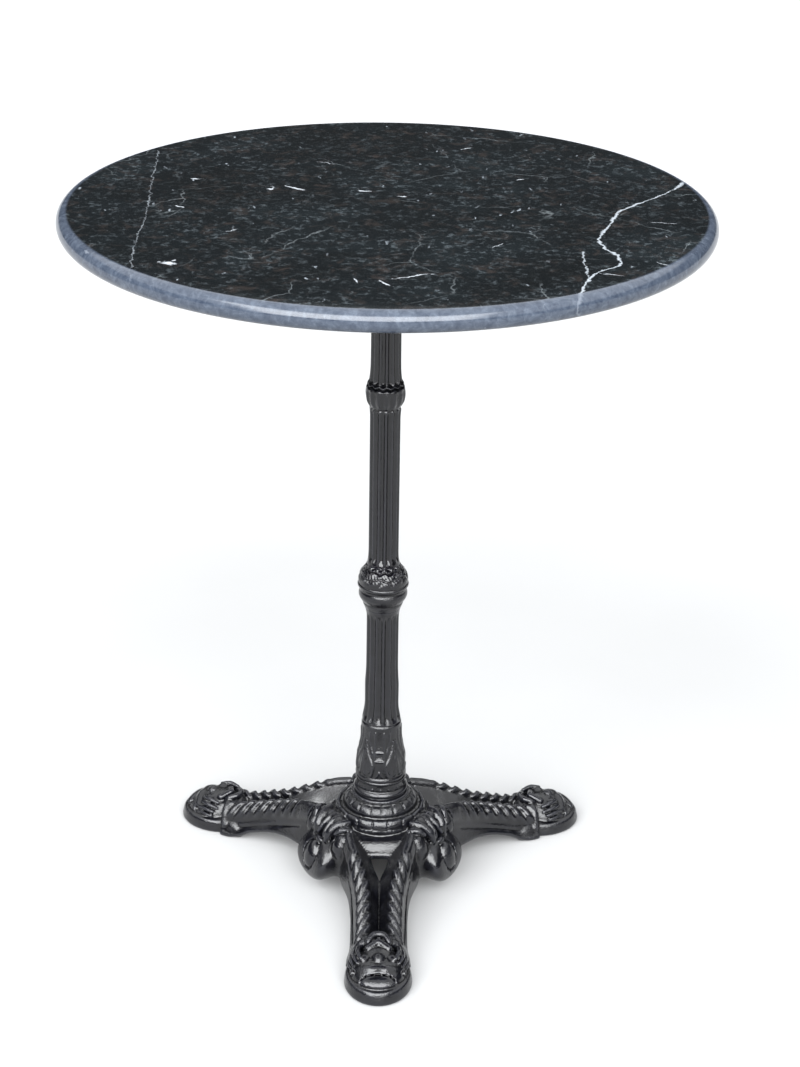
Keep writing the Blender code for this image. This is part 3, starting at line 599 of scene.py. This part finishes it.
def ellipsoid(p, centre, half):
    scaled = [(c - m) / h for c, m, h in zip(p, centre, half)]
    near = np.sqrt(sum(s * s for s in scaled)) + 1e-6
    slope = np.sqrt(sum((s / h) ** 2 for s, h in zip(scaled, half))) + 1e-6
    return near * (near - 1) / slope


def soft_block(p, centre, half, power):
    """A superellipsoid: power 2 is an ellipsoid, and a higher power is squarer."""
    scaled = [np.abs(c - m) / h + 1e-6 for c, m, h in zip(p, centre, half)]
    total = sum(s ** power for s in scaled)
    near = total ** (1 / power)
    slope = near / total * np.sqrt(sum((s ** (power - 1) / h) ** 2 for s, h in zip(scaled, half)))
    return (near - 1) / slope


def rod(p, points, radii):
    """A round rod along a line of points, with its own radius at each."""
    nearest = np.full(p[0].shape, 1e9)
    for a, b, ra, rb in zip(points, points[1:], radii, radii[1:]):
        run = np.subtract(b, a)
        share = np.clip(sum((c - m) * r for c, m, r in zip(p, a, run)) / (run @ run), 0, 1)
        away = np.sqrt(sum((c - m - share * r) ** 2 for c, m, r in zip(p, a, run)))
        nearest = np.minimum(nearest, away - ra - share * (rb - ra))
    return nearest


def bent_rod(p, points, radii, steps_between=3):
    rows = spline([(*point, radius) for point, radius in zip(points, radii)], steps_between)
    return rod(p, [row[:3] for row in rows], [row[3] for row in rows])


def turned(radius, z, profile):
    """The distance to a shape turned about the z axis from a closed (radius, z) outline."""
    nearest = np.full(radius.shape, 1e18)
    inside = np.zeros(radius.shape, bool)
    for (ra, za), (rb, zb) in zip(profile, profile[1:] + profile[:1]):
        dr, dz = rb - ra, zb - za
        share = np.clip(((radius - ra) * dr + (z - za) * dz) / (dr * dr + dz * dz), 0, 1)
        nearest = np.minimum(nearest, (radius - ra - share * dr) ** 2 + (z - za - share * dz) ** 2)
        if dz:
            crossing = (z >= min(za, zb)) & (z < max(za, zb)) & (radius < ra + (z - za) / dz * dr)
            inside ^= crossing
    return np.where(inside, -1, 1) * np.sqrt(nearest)


def oval_wall(x, y, half_x, half_y):
    """The distance to an upright oval wall."""
    near = np.hypot(x / half_x, y / half_y) + 1e-6
    slope = np.hypot(x / half_x ** 2, y / half_y ** 2) / near + 1e-6
    return (near - 1) / slope


HUB_OUTLINE = [(5.4, 89.7), (16.3, 89.7), (16.3, 97.7), (28.3, 97.7), (29.3, 96.9), (29.5, 93.8),
               (29.1, 92.9), (30.2, 92.7), (32.7, 91.5), (34.9, 89.2), (36.3, 86.8), (36.8, 85.0),
               (36.4, 84.0), (36.8, 82.2), (39.0, 81.2), (41.2, 81.8), (41.7, 83.2), (43.0, 83.3),
               (44.6, 81.3), (45.8, 78.5), (46.3, 75.4), (46.8, 73.8), (47.5, 73.3), (47.6, 72.2),
               (46.8, 71.5), (46.8, 66.0), (46.0, 63.0), (38.0, 64.0), (25.0, 71.0), (20.0, 76.0),
               (5.4, 76.0)]
PANELS = 18
PANEL_RINGS = [(33.2, 91.0, 8.5, math.radians(3)), (44.4, 79.8, 8.5, math.radians(10))]


def hub(x, y, z):
    """The ringed boss: a step, then two rings of convex panels parted by fine upright grooves."""
    radius = np.hypot(x, y)
    field = turned(radius, z, HUB_OUTLINE)
    angle = np.arctan2(y, x) - FRONT
    for ring_radius, ring_z, reach, phase in PANEL_RINGS:
        from_joint = np.abs((((angle - phase) * PANELS / TURN) + 0.5) % 1.0 - 0.5)
        from_joint = from_joint * TURN / PANELS * ring_radius
        close = ridge(np.hypot(radius - ring_radius, z - ring_z), reach * 0.75)
        field = field + (1.6 * ridge(from_joint, 0.75) - 0.3) * close
    return field


# One row for each place along a leg: u, then the outer wall's foot (v, z), the rib's crest and the
# floor of the channel between the ribs.
LEG_ROWS = [(26, 48, 24, 44, 80, 34, 73), (49, 42.2, 24, 33.4, 78.1, 23.7, 67.5),
            (61, 39.7, 24, 30, 75.7, 12.5, 56), (73, 37.5, 24, 26.5, 72.5, 8.8, 51),
            (97, 31.3, 24, 18.5, 62, 1.5, 45), (119, 28.6, 20, 13.5, 52, 1.5, 34),
            (141, 28, 12, 12.8, 43.5, 1.5, 27), (155, 28.5, 4, 12.6, 38, 1.5, 22),
            (168, 31, 0.5, 13.5, 33.5, 2, 20), (190, 32, 0.5, 15, 30, 4, 20)]
LEG_TABLE = spline(LEG_ROWS, 10)
WALL = 2.6                          # half the thickness of the walls
BEAD = 5.0                          # radius of the bead along a rib's crest
COVER_DEPTH = 18.5                  # how far the roped cover hangs below the crest
COVER_BULGE = 2.3                   # how far the cover swells out over the wall
ROPE_START, ROPE_END = 76.0, 177.0
ROPE_PITCH, ROPE_HEIGHT = 12.0, 3.3
# How far a lobe runs outward for each millimetre down, and how much more at the crest.
ROPE_LEAN, CREST_LEAN = 0.45, 0.5
PLATE_END = 61.5                    # where the web plate below the hub ends, along u
LEG_END = 178.0


def leg_line(u):
    """The section of a leg at u: foot v and z, crest v and z, floor v and z."""
    return [np.interp(u, LEG_TABLE[:, 0], LEG_TABLE[:, k]) for k in range(1, 7)]


def stick(v, z, va, za, vb, zb, ra, rb):
    """In a section: the distance to a bar that runs from a to b, with radius ra at a and rb at b."""
    dv, dz = vb - va, zb - za
    share = np.clip(((v - va) * dv + (z - za) * dz) / (dv * dv + dz * dz), 0, 1)
    return np.hypot(v - va - share * dv, z - za - share * dz) - ra - share * (rb - ra)


def legs(u, v, z):
    """The two ribs of each leg with the channel between them, open underneath."""
    foot_v, foot_z, crest_v, crest_z, floor_v, floor_z = leg_line(u)
    top_z = crest_z - BEAD
    low_v, low_z = foot_v - WALL, foot_z + WALL
    outer = stick(v, z, crest_v, top_z, low_v, low_z, WALL, WALL)
    inner = stick(v, z, crest_v, top_z, floor_v, floor_z - WALL, WALL, WALL)
    length = np.hypot(low_v - crest_v, low_z - top_z)
    out_v, out_z = (low_v - crest_v) / length, (low_z - top_z) / length
    depth = np.minimum(COVER_DEPTH, 0.8 * length)
    cover = stick(v, z, crest_v, top_z, crest_v + out_v * depth, top_z + out_z * depth, BEAD, WALL + 0.6)
    half_way = ((v - crest_v) * out_v + (z - top_z) * out_z) / depth
    cover = cover - COVER_BULGE * np.clip(1 - (2 * half_way - 0.8) ** 2, 0, 1) ** 2
    below = (v - crest_v) * out_v + (crest_z - z) * -out_z
    around = np.arctan2(np.abs(v - crest_v), z - top_z) * BEAD
    below = np.where(v >= crest_v, below, -around)
    phase = (u - ROPE_LEAN * below - CREST_LEAN * np.clip(below, -6, 5)) / ROPE_PITCH % 1.0
    swelling = np.clip(1 - (np.abs(2 * phase - 1) / 0.78) ** 2, 0, 1)
    roped = np.clip((u - ROPE_START) / 6, 0, 1) * np.clip((ROPE_END - u) / 4, 0, 1)
    roped = roped * np.clip((v - crest_v + 6.5) / 3.5, 0, 1)
    cover = cover - ROPE_HEIGHT * (swelling - 0.58) * roped * np.clip(1.4 - 1.8 * half_way, 0, 1)
    field = join(join(outer, inner, 2.5), cover, 1.0)
    plate = np.maximum(np.abs(z - floor_z + 3) - 3, v - floor_v - 2)
    plate = both(plate, u - PLATE_END, 1.5)
    plate = np.maximum(plate, 30 - np.hypot(u, v))
    field = join(field, plate, 2.0)
    line_v = crest_v + out_v * (depth + 4.2) - out_z * (WALL + 0.3)
    line_z = top_z + out_z * (depth + 4.2) + out_v * (WALL + 0.3)
    line = np.hypot(v - line_v, z - line_z) - 1.15
    line = np.maximum(line, np.maximum(ROPE_START - u, u - 163))
    field = cut(field, line, 0.6)
    seam = np.hypot(v - floor_v, z - floor_z - 0.2) - 0.9
    field = cut(field, np.maximum(seam, np.maximum(44 - u, u - PLATE_END - 3)), 0.6)
    valley = np.maximum(np.hypot(v, z - floor_z - 1.8) - 0.9, 96 - u)
    field = cut(field, valley, 0.6)
    return both(field, u - LEG_END, 2.0)


def drop_body(field, a, b, z):
    """The full body that hangs between two legs, under a knuckle that runs over the rim."""
    face = np.hypot(a - 47, z - 28) - 38.5
    shield = both(face, oval_wall(b, z - 42, 28, 27.5), 10)
    return join(field, join(shield, ellipsoid((a, b, z), (52, 0, 72), (8.5, 22, 7.5)), 8), 9)


OVAL_A, OVAL_Z = 78.0, 42.5         # centre of the outlined oval on a drop
OVAL_COS, OVAL_SIN = 0.94, 0.34     # of its lean, 20 degrees

# The leaf ribs of a drop, from its middle outward: the (a, b, z) points of each, and its radius at each.
DROP_RIBS = [([(48, 2.8, 79), (55, 3.2, 78), (60.5, 3.8, 74), (65.5, 4.6, 69), (69, 5.6, 63)],
              [2.4, 2.8, 2.8, 2.6, 1.4]),
             ([(46, 18, 79), (54, 16, 78.5), (60, 13.5, 75), (66, 11.4, 69), (69, 10.4, 61)],
              [3.0, 4.2, 4.6, 4.2, 2.4]),
             ([(49, 29, 76), (56, 26.5, 77.5), (60.5, 23.5, 76), (64, 20.5, 72)],
              [1.8, 3.0, 3.0, 1.6])]


def drop_details(field, a, b, z):
    """An outlined oval on the body, scrolls at its shoulders and leaf ribs that start at the hub's rings."""
    p = (a, b, z)
    out, up = a - OVAL_A, z - OVAL_Z
    leaned = (out * OVAL_COS + up * OVAL_SIN, b, up * OVAL_COS - out * OVAL_SIN)
    oval = ellipsoid(leaned, (0, 0, 0), (7.5, 11.0, 15.0))
    field = join(cut(field, oval - 1.6, 0.6), oval, 0.3)
    bulb = bent_rod(p, [(57.5, 27.5, 66), (61, 27, 58), (61, 26.5, 47)], [8.4, 9.0, 6.0])
    field = cut(field, np.maximum(bulb - 1.7, 60 - z), 1.0)
    field = join(field, bulb, 2.0)
    clear = 49.0 - np.hypot(a, b)
    for line, radii in DROP_RIBS:
        rib = np.maximum(bent_rod(p, line, radii), clear)
        field = join(cut(field, np.maximum(rib - 0.7, clear), 0.5), rib, 0.4)
    return join(field, ellipsoid(p, (70, 0, 58), (3.6, 6.0, 3.2)), 0.8)


def drop_hollow(a, b, z):
    return soft_block((a, b, z), (53, 0, 33), (24, 21, 24), 2.6)


PAD_CENTRE, PAD_HEIGHT = 201.0, 15.0
TOE_U, TOE_Z = 227.0, 17.0          # centre of the cushion on the toe
TOE_COS, TOE_SIN = 0.69, 0.72       # of its lean, about 45 degrees


def toe_oval(u, v, z, grown):
    """The cushion on the toe: an oval that leans back."""
    out, up = u - TOE_U, z - TOE_Z
    p = (out * TOE_COS + up * TOE_SIN, v, out * TOE_SIN - up * TOE_COS)
    return ellipsoid(p, (0, 0, 0), (5.4 + grown, 17.0 + grown, 8.8 + grown))


# The ribs of the shell on each side of a foot, from the top down: each one's (u, v, z) points and radius.
SHELL_RIBS = [([(187, 19.5, 31), (197, 19.5, 32.5), (206, 16.5, 31.5)], 2.3),
              ([(186, 23, 26.5), (197, 23.2, 28), (207, 20, 27)], 2.2),
              ([(185.5, 26, 22), (197, 26, 23.3), (207.5, 23, 22.5)], 2.1),
              ([(186, 27.5, 17.5), (197, 28, 18.6), (207, 25, 18)], 2.0)]


def feet(u, v, z):
    """A foot: an oval pad, a heel behind it, and a crown of lobes, shells, a crescent and a toe oval."""
    p = (u, v, z)
    x = u - PAD_CENTRE
    lean = np.clip(z / PAD_HEIGHT, 0, 1)
    pad = both(oval_wall(x, v, 40 - 4 * lean, 33.5 - 2.5 * lean), np.abs(z - PAD_HEIGHT / 2) - PAD_HEIGHT / 2,
               5.0)
    heel = ellipsoid(p, (166, 21.5, 7.0), (13, 7.0, 10.0))
    field = join(pad, heel, 5)
    field = cut(field, rod(p, [(180, 34, -2), (179, 32, 15)], [4.5, 4.0]), 2.0)
    crown = join(ellipsoid(p, (203, 0, 11), (28.5, 28, 21)), ellipsoid(p, (193, 0, 13), (20, 22, 21)), 4)
    for centre, half in (((205.5, 0, 22.5), (9.0, 8, 14)), ((202.5, 13, 20), (9.0, 7.5, 13))):
        crown = join(crown, ellipsoid(p, centre, half), 1.0)
    crescent = bent_rod(p, [(204, 22.5, 13), (209.5, 20, 18.5), (213.5, 13, 22.8), (215.5, 6, 25.0),
                            (215, 0, 25.4)], [3.2, 4.8, 5.2, 5.4, 5.2])
    crown = join(crown, crescent, 0.8)
    crown = cut(crown, toe_oval(u, v, z, 1.5), 1.2)
    crown = join(crown, toe_oval(u, v, z, 0.0), 0.3)
    for line, radius in SHELL_RIBS:
        crown = join(crown, bent_rod(p, line, [radius * 0.8, radius, radius * 0.6], 4), 0.5)
    crown = cut(crown, ellipsoid(p, (211.5, 23.5, 18.5), (3, 3, 3)), 1.0)
    field = join(field, crown, 1.5)
    around = np.hypot(oval_wall(x - 1, v, 32.5, 28.5), z - 15.6) - 1.6
    field = cut(field, np.maximum(around, 186 - u), 1.0)
    cuff = bent_rod(p, [(178, 0, 29.5), (178, 9, 30), (177, 17, 27.5), (176.5, 21.5, 20), (175, 25, 12)],
                    [4.2, 4.2, 4.2, 4.2, 3.6])
    arch = bent_rod(p, [(172, 0, 36.5), (173.5, 5, 36.3), (178.5, 9, 34.5), (181, 10, 33)],
                    [3.2, 3.2, 3.0, 2.6])
    chevron = rod(p, [(183.5, 0, 35.6), (190, 9.5, 32.2)], [3.4, 3.6])
    fill = ellipsoid(p, (176, 0, 22), (10, 16, 11))
    strap = join(join(cuff, fill, 2), np.minimum(arch, chevron), 0.8)
    field = join(field, strap, 1.0)
    return cut(field, ellipsoid(p, (184, 26.5, 19.5), (5, 4, 5)), 1.5)


# The machined holes, as a radius and the height of its top, or of its floor for the seat.
GLIDE_CENTRE = 203.0
GLIDE_POCKET = (27.0, 12.0)
BUSH_HOLE = (6.3, 30.6)
ROD_BORE = (5.4, 90.0)
VASE_SEAT = (16.3, 89.7)


def tripod(x, y, z):
    """The distance from each point to the tripod casting's surface, below zero inside."""
    radius = np.hypot(x, y)
    sweep = (np.arctan2(y, x) - FRONT) % LEG_STEP
    folded = np.minimum(sweep, LEG_STEP - sweep)
    u, v = radius * np.cos(folded), radius * np.sin(folded)
    a, b = radius * np.cos(LEG_STEP / 2 - folded), radius * np.sin(LEG_STEP / 2 - folded)
    field = legs(u, v, z)

    def blend(near, shape, soft, *at):
        """Joins a shape to the field, worked out only for the points near it."""
        i = np.flatnonzero(near)
        if len(i):
            field[i] = join(field[i], shape(*(c[i] for c in at)), soft)

    gaps = np.flatnonzero((a < 104) & (b < 50) & (a > 25))
    around_gap = (a[gaps], b[gaps], z[gaps])
    field[gaps] = drop_body(field[gaps], *around_gap)
    blend((radius < 62) & (z > 50), hub, 0.8, x, y, z)
    blend(u > 140, feet, 1.5, u, v, z)
    field[gaps] = drop_details(field[gaps], *around_gap)
    field[gaps] = cut(field[gaps], drop_hollow(*around_gap), 2.0)
    from_glide = np.hypot(u - GLIDE_CENTRE, v)
    for away, (reach, top) in ((from_glide, GLIDE_POCKET), (from_glide, BUSH_HOLE), (radius, ROD_BORE)):
        field = np.maximum(field, -np.maximum(away - reach, z - top))
    seat_radius, seat_floor = VASE_SEAT
    field = np.maximum(field, -np.maximum(radius - seat_radius, seat_floor - z))
    return np.maximum(field, -z)


LATTICE = 1.5                       # spacing of the grid that the surface is drawn from
BLOCK = 4                           # grid cells to a block in the first, coarse look
HALF_DIAGONAL = 0.87                # of a block, for a block of side 1
STEEPNESS = 1.35                    # how much faster than the true distance a field may change
CASTING_BOX = (-222.0, -249.0, -6.0), (222.0, 147.0, 104.0)


def surface(field, low, high, spacing):
    """Points and outward quads of the zero surface of a distance field, by surface nets."""
    size = np.ceil((np.subtract(high, low) / spacing) / BLOCK).astype(int)
    corner = [low[k] + (np.arange(size[k]) + 0.5) * spacing * BLOCK for k in range(3)]
    coarse = np.stack(np.meshgrid(*corner, indexing="ij"), -1).reshape(-1, 3)
    reach = spacing * BLOCK * HALF_DIAGONAL * STEEPNESS + 1.5
    kept = (np.abs(field(*coarse.T)) < reach).reshape(size)
    cells = size * BLOCK
    live = np.repeat(np.repeat(np.repeat(kept, BLOCK, 0), BLOCK, 1), BLOCK, 2)
    used = np.zeros(cells + 1, bool)
    for i in (0, 1):
        for j in (0, 1):
            for k in (0, 1):
                used[i:cells[0] + i, j:cells[1] + j, k:cells[2] + k] |= live
    value = np.full(cells + 1, 1e3, np.float32)
    at = np.argwhere(used)
    points = at * spacing + np.asarray(low)
    for start in range(0, len(at), 400000):
        part = slice(start, start + 400000)
        value[tuple(at[part].T)] = field(*points[part].T)
    inside = value < 0
    total = np.zeros(tuple(cells) + (4,), np.float32)
    quads = []
    for axis in range(3):
        others = [k for k in range(3) if k != axis]
        ahead, behind = [slice(None)] * 3, [slice(None)] * 3
        ahead[axis], behind[axis] = slice(1, None), slice(None, -1)
        ahead, behind = tuple(ahead), tuple(behind)
        crossed = np.argwhere((inside[ahead] != inside[behind]) & used[ahead] & used[behind])
        first = value[tuple(crossed.T)]
        second = value[tuple((crossed + np.eye(3, dtype=int)[axis]).T)]
        where = crossed.astype(np.float32)
        where[:, axis] += first / (first - second)
        ring = []
        for da, db in ((-1, -1), (0, -1), (0, 0), (-1, 0)):
            cell = crossed.copy()
            cell[:, others[0]] += da
            cell[:, others[1]] += db
            np.add.at(total, tuple(cell.T), np.hstack([where, np.ones((len(where), 1), np.float32)]))
            ring.append(np.ravel_multi_index(tuple(cell.T), cells))
        quad = np.stack(ring, 1)
        turned_round = (first < 0) if axis != 1 else (first >= 0)
        quad[~turned_round] = quad[~turned_round][:, ::-1]
        quads.append(quad)
    quads = np.vstack(quads)
    flat = total.reshape(-1, 4)
    wanted, index = np.unique(quads.ravel(), return_inverse=True)
    centre = flat[wanted, :3] / flat[wanted, 3:] * spacing + np.asarray(low)
    return centre, index.reshape(-1, 4)


def onto_surface(field, points, rounds=3, step=0.35):
    """Moves each point along the field's slope until it lies on the zero surface."""
    for _ in range(rounds):
        slope = np.stack([field(*(points + np.eye(3)[k] * step).T) - field(*(points - np.eye(3)[k] * step).T)
                          for k in range(3)], 1) / (2 * step)
        strength = np.maximum((slope ** 2).sum(1), 0.25)
        move = np.clip(field(*points.T) / strength, -1.0, 1.0)
        points = points - slope * (move * 0.8)[:, None]
    return points


def tripod_casting(material):
    spacing = LATTICE
    points, faces = surface(tripod, *CASTING_BOX, spacing)
    points = onto_surface(tripod, points)
    points[:, 2] = np.maximum(points[:, 2], 0.0)
    casting = mesh_object("tripod_casting", points, faces)
    paint(casting, material)
    place(casting, "black_iron", "tripod_base")


# ---- stage --------------------------------------------------------------------------------------
# The studio is a pale dome over a dim band, which is what the polished top mirrors to the camera, with one
# wide soft light in front. The floor is a paper that shows as white.
DOME_BRIGHTNESS = 1.7
BAND_BRIGHTNESS = 0.06
# The band's top edge: its height, its rise to the back and its rise to the sides.
BAND_TOP, BAND_BACK, BAND_SIDE = 0.30, 0.18, 0.2
BAND_SOFT = 0.06
LIGHT_BRIGHTNESS = 10.0
# The front light's edges, as parts of a direction of length 1.
LIGHT_LEFT, LIGHT_RIGHT = -0.7, 0.52
LIGHT_LOW, LIGHT_HIGH, LIGHT_SOFT = 0.14, 0.86, 0.1
FLOOR_GREY = 164
FLOOR_SIZE = 200.0                                 # metres, so that no view from above reaches its end


def between(g, value, low, high, soft):
    """1 where a value lies between two limits, with soft ends."""
    up = g.node("ShaderNodeMapRange", {"Value": value, "From Min": low, "From Max": low + soft},
                interpolation_type="SMOOTHSTEP").outputs[0]
    down = g.node("ShaderNodeMapRange", {"Value": value, "From Min": high, "From Max": high - soft},
                  interpolation_type="SMOOTHSTEP").outputs[0]
    return g.math("MULTIPLY", up, down)


def stage():
    """A plain paper floor in a soft dome of light."""
    bpy.ops.mesh.primitive_plane_add(size=FLOOR_SIZE)
    floor = bpy.context.object
    floor.name = "studio_floor"
    g = Graph("studio_floor_paper")
    g.set(Base_Color=g.ramp(g.noise(3.0, 2.0).outputs["Fac"], [(0.3, srgb(*[FLOOR_GREY] * 3)),
                                                               (0.7, srgb(*[FLOOR_GREY + 3] * 3))]),
          Roughness=0.95)
    paint(floor, g.material)
    world = bpy.data.worlds.new("studio_dome")
    world.use_nodes = True
    g = Graph.of_tree(world.node_tree)
    direction = g.node("ShaderNodeTexCoord").outputs["Generated"]
    x, y, z = g.node("ShaderNodeSeparateXYZ", {"Vector": direction}).outputs
    height = g.math("SUBTRACT", g.math("SUBTRACT", z, g.math("MULTIPLY", y, BAND_BACK)),
                    g.math("MULTIPLY", g.math("ABSOLUTE", x), BAND_SIDE))
    level = g.node("ShaderNodeMapRange", {"Value": height, "From Min": BAND_TOP - BAND_SOFT,
                                          "From Max": BAND_TOP, "To Min": BAND_BRIGHTNESS,
                                          "To Max": DOME_BRIGHTNESS},
                   interpolation_type="SMOOTHSTEP").outputs[0]
    light = g.math("MULTIPLY", between(g, x, LIGHT_LEFT, LIGHT_RIGHT, LIGHT_SOFT),
                   between(g, z, LIGHT_LOW, LIGHT_HIGH, LIGHT_SOFT))
    light = g.math("MULTIPLY", light, between(g, y, -2.0, -0.1, LIGHT_SOFT))
    room = world.node_tree.nodes["Background"]
    room.inputs["Color"].default_value = (0.97, 0.985, 1.0, 1)
    g.put(room.inputs["Strength"], g.math("ADD", level, g.math("MULTIPLY", light, LIGHT_BRIGHTNESS)))
    bpy.context.scene.world = world
    bpy.context.scene.view_settings.view_transform = "Standard"


def finish_nodes(iron, steel, brass, rubber, nylon):
    """Every CAD piece that stays takes a finish."""
    for name, node in nodes.items():
        if name.startswith("brass_insert"):
            paint(node, brass)
        elif name.startswith("rubber_pad"):
            paint(node, rubber)
        elif name.startswith("glide_pad"):
            paint(node, nylon)
        elif name == "top_spider":
            paint(node, iron)
        elif not node.hide_render:
            paint(node, steel)


add_camera()
stage()
iron = enamelled_iron()
marble_slab(black_marble())
column(iron)
tripod_casting(iron)
finish_nodes(iron, plated_steel(), turned_brass(),
             moulded("pad_rubber", srgb(26, 26, 27), srgb(38, 38, 38), 0.75, 900.0),
             moulded("glide_nylon", srgb(32, 32, 34), srgb(44, 44, 46), 0.5, 1100.0))
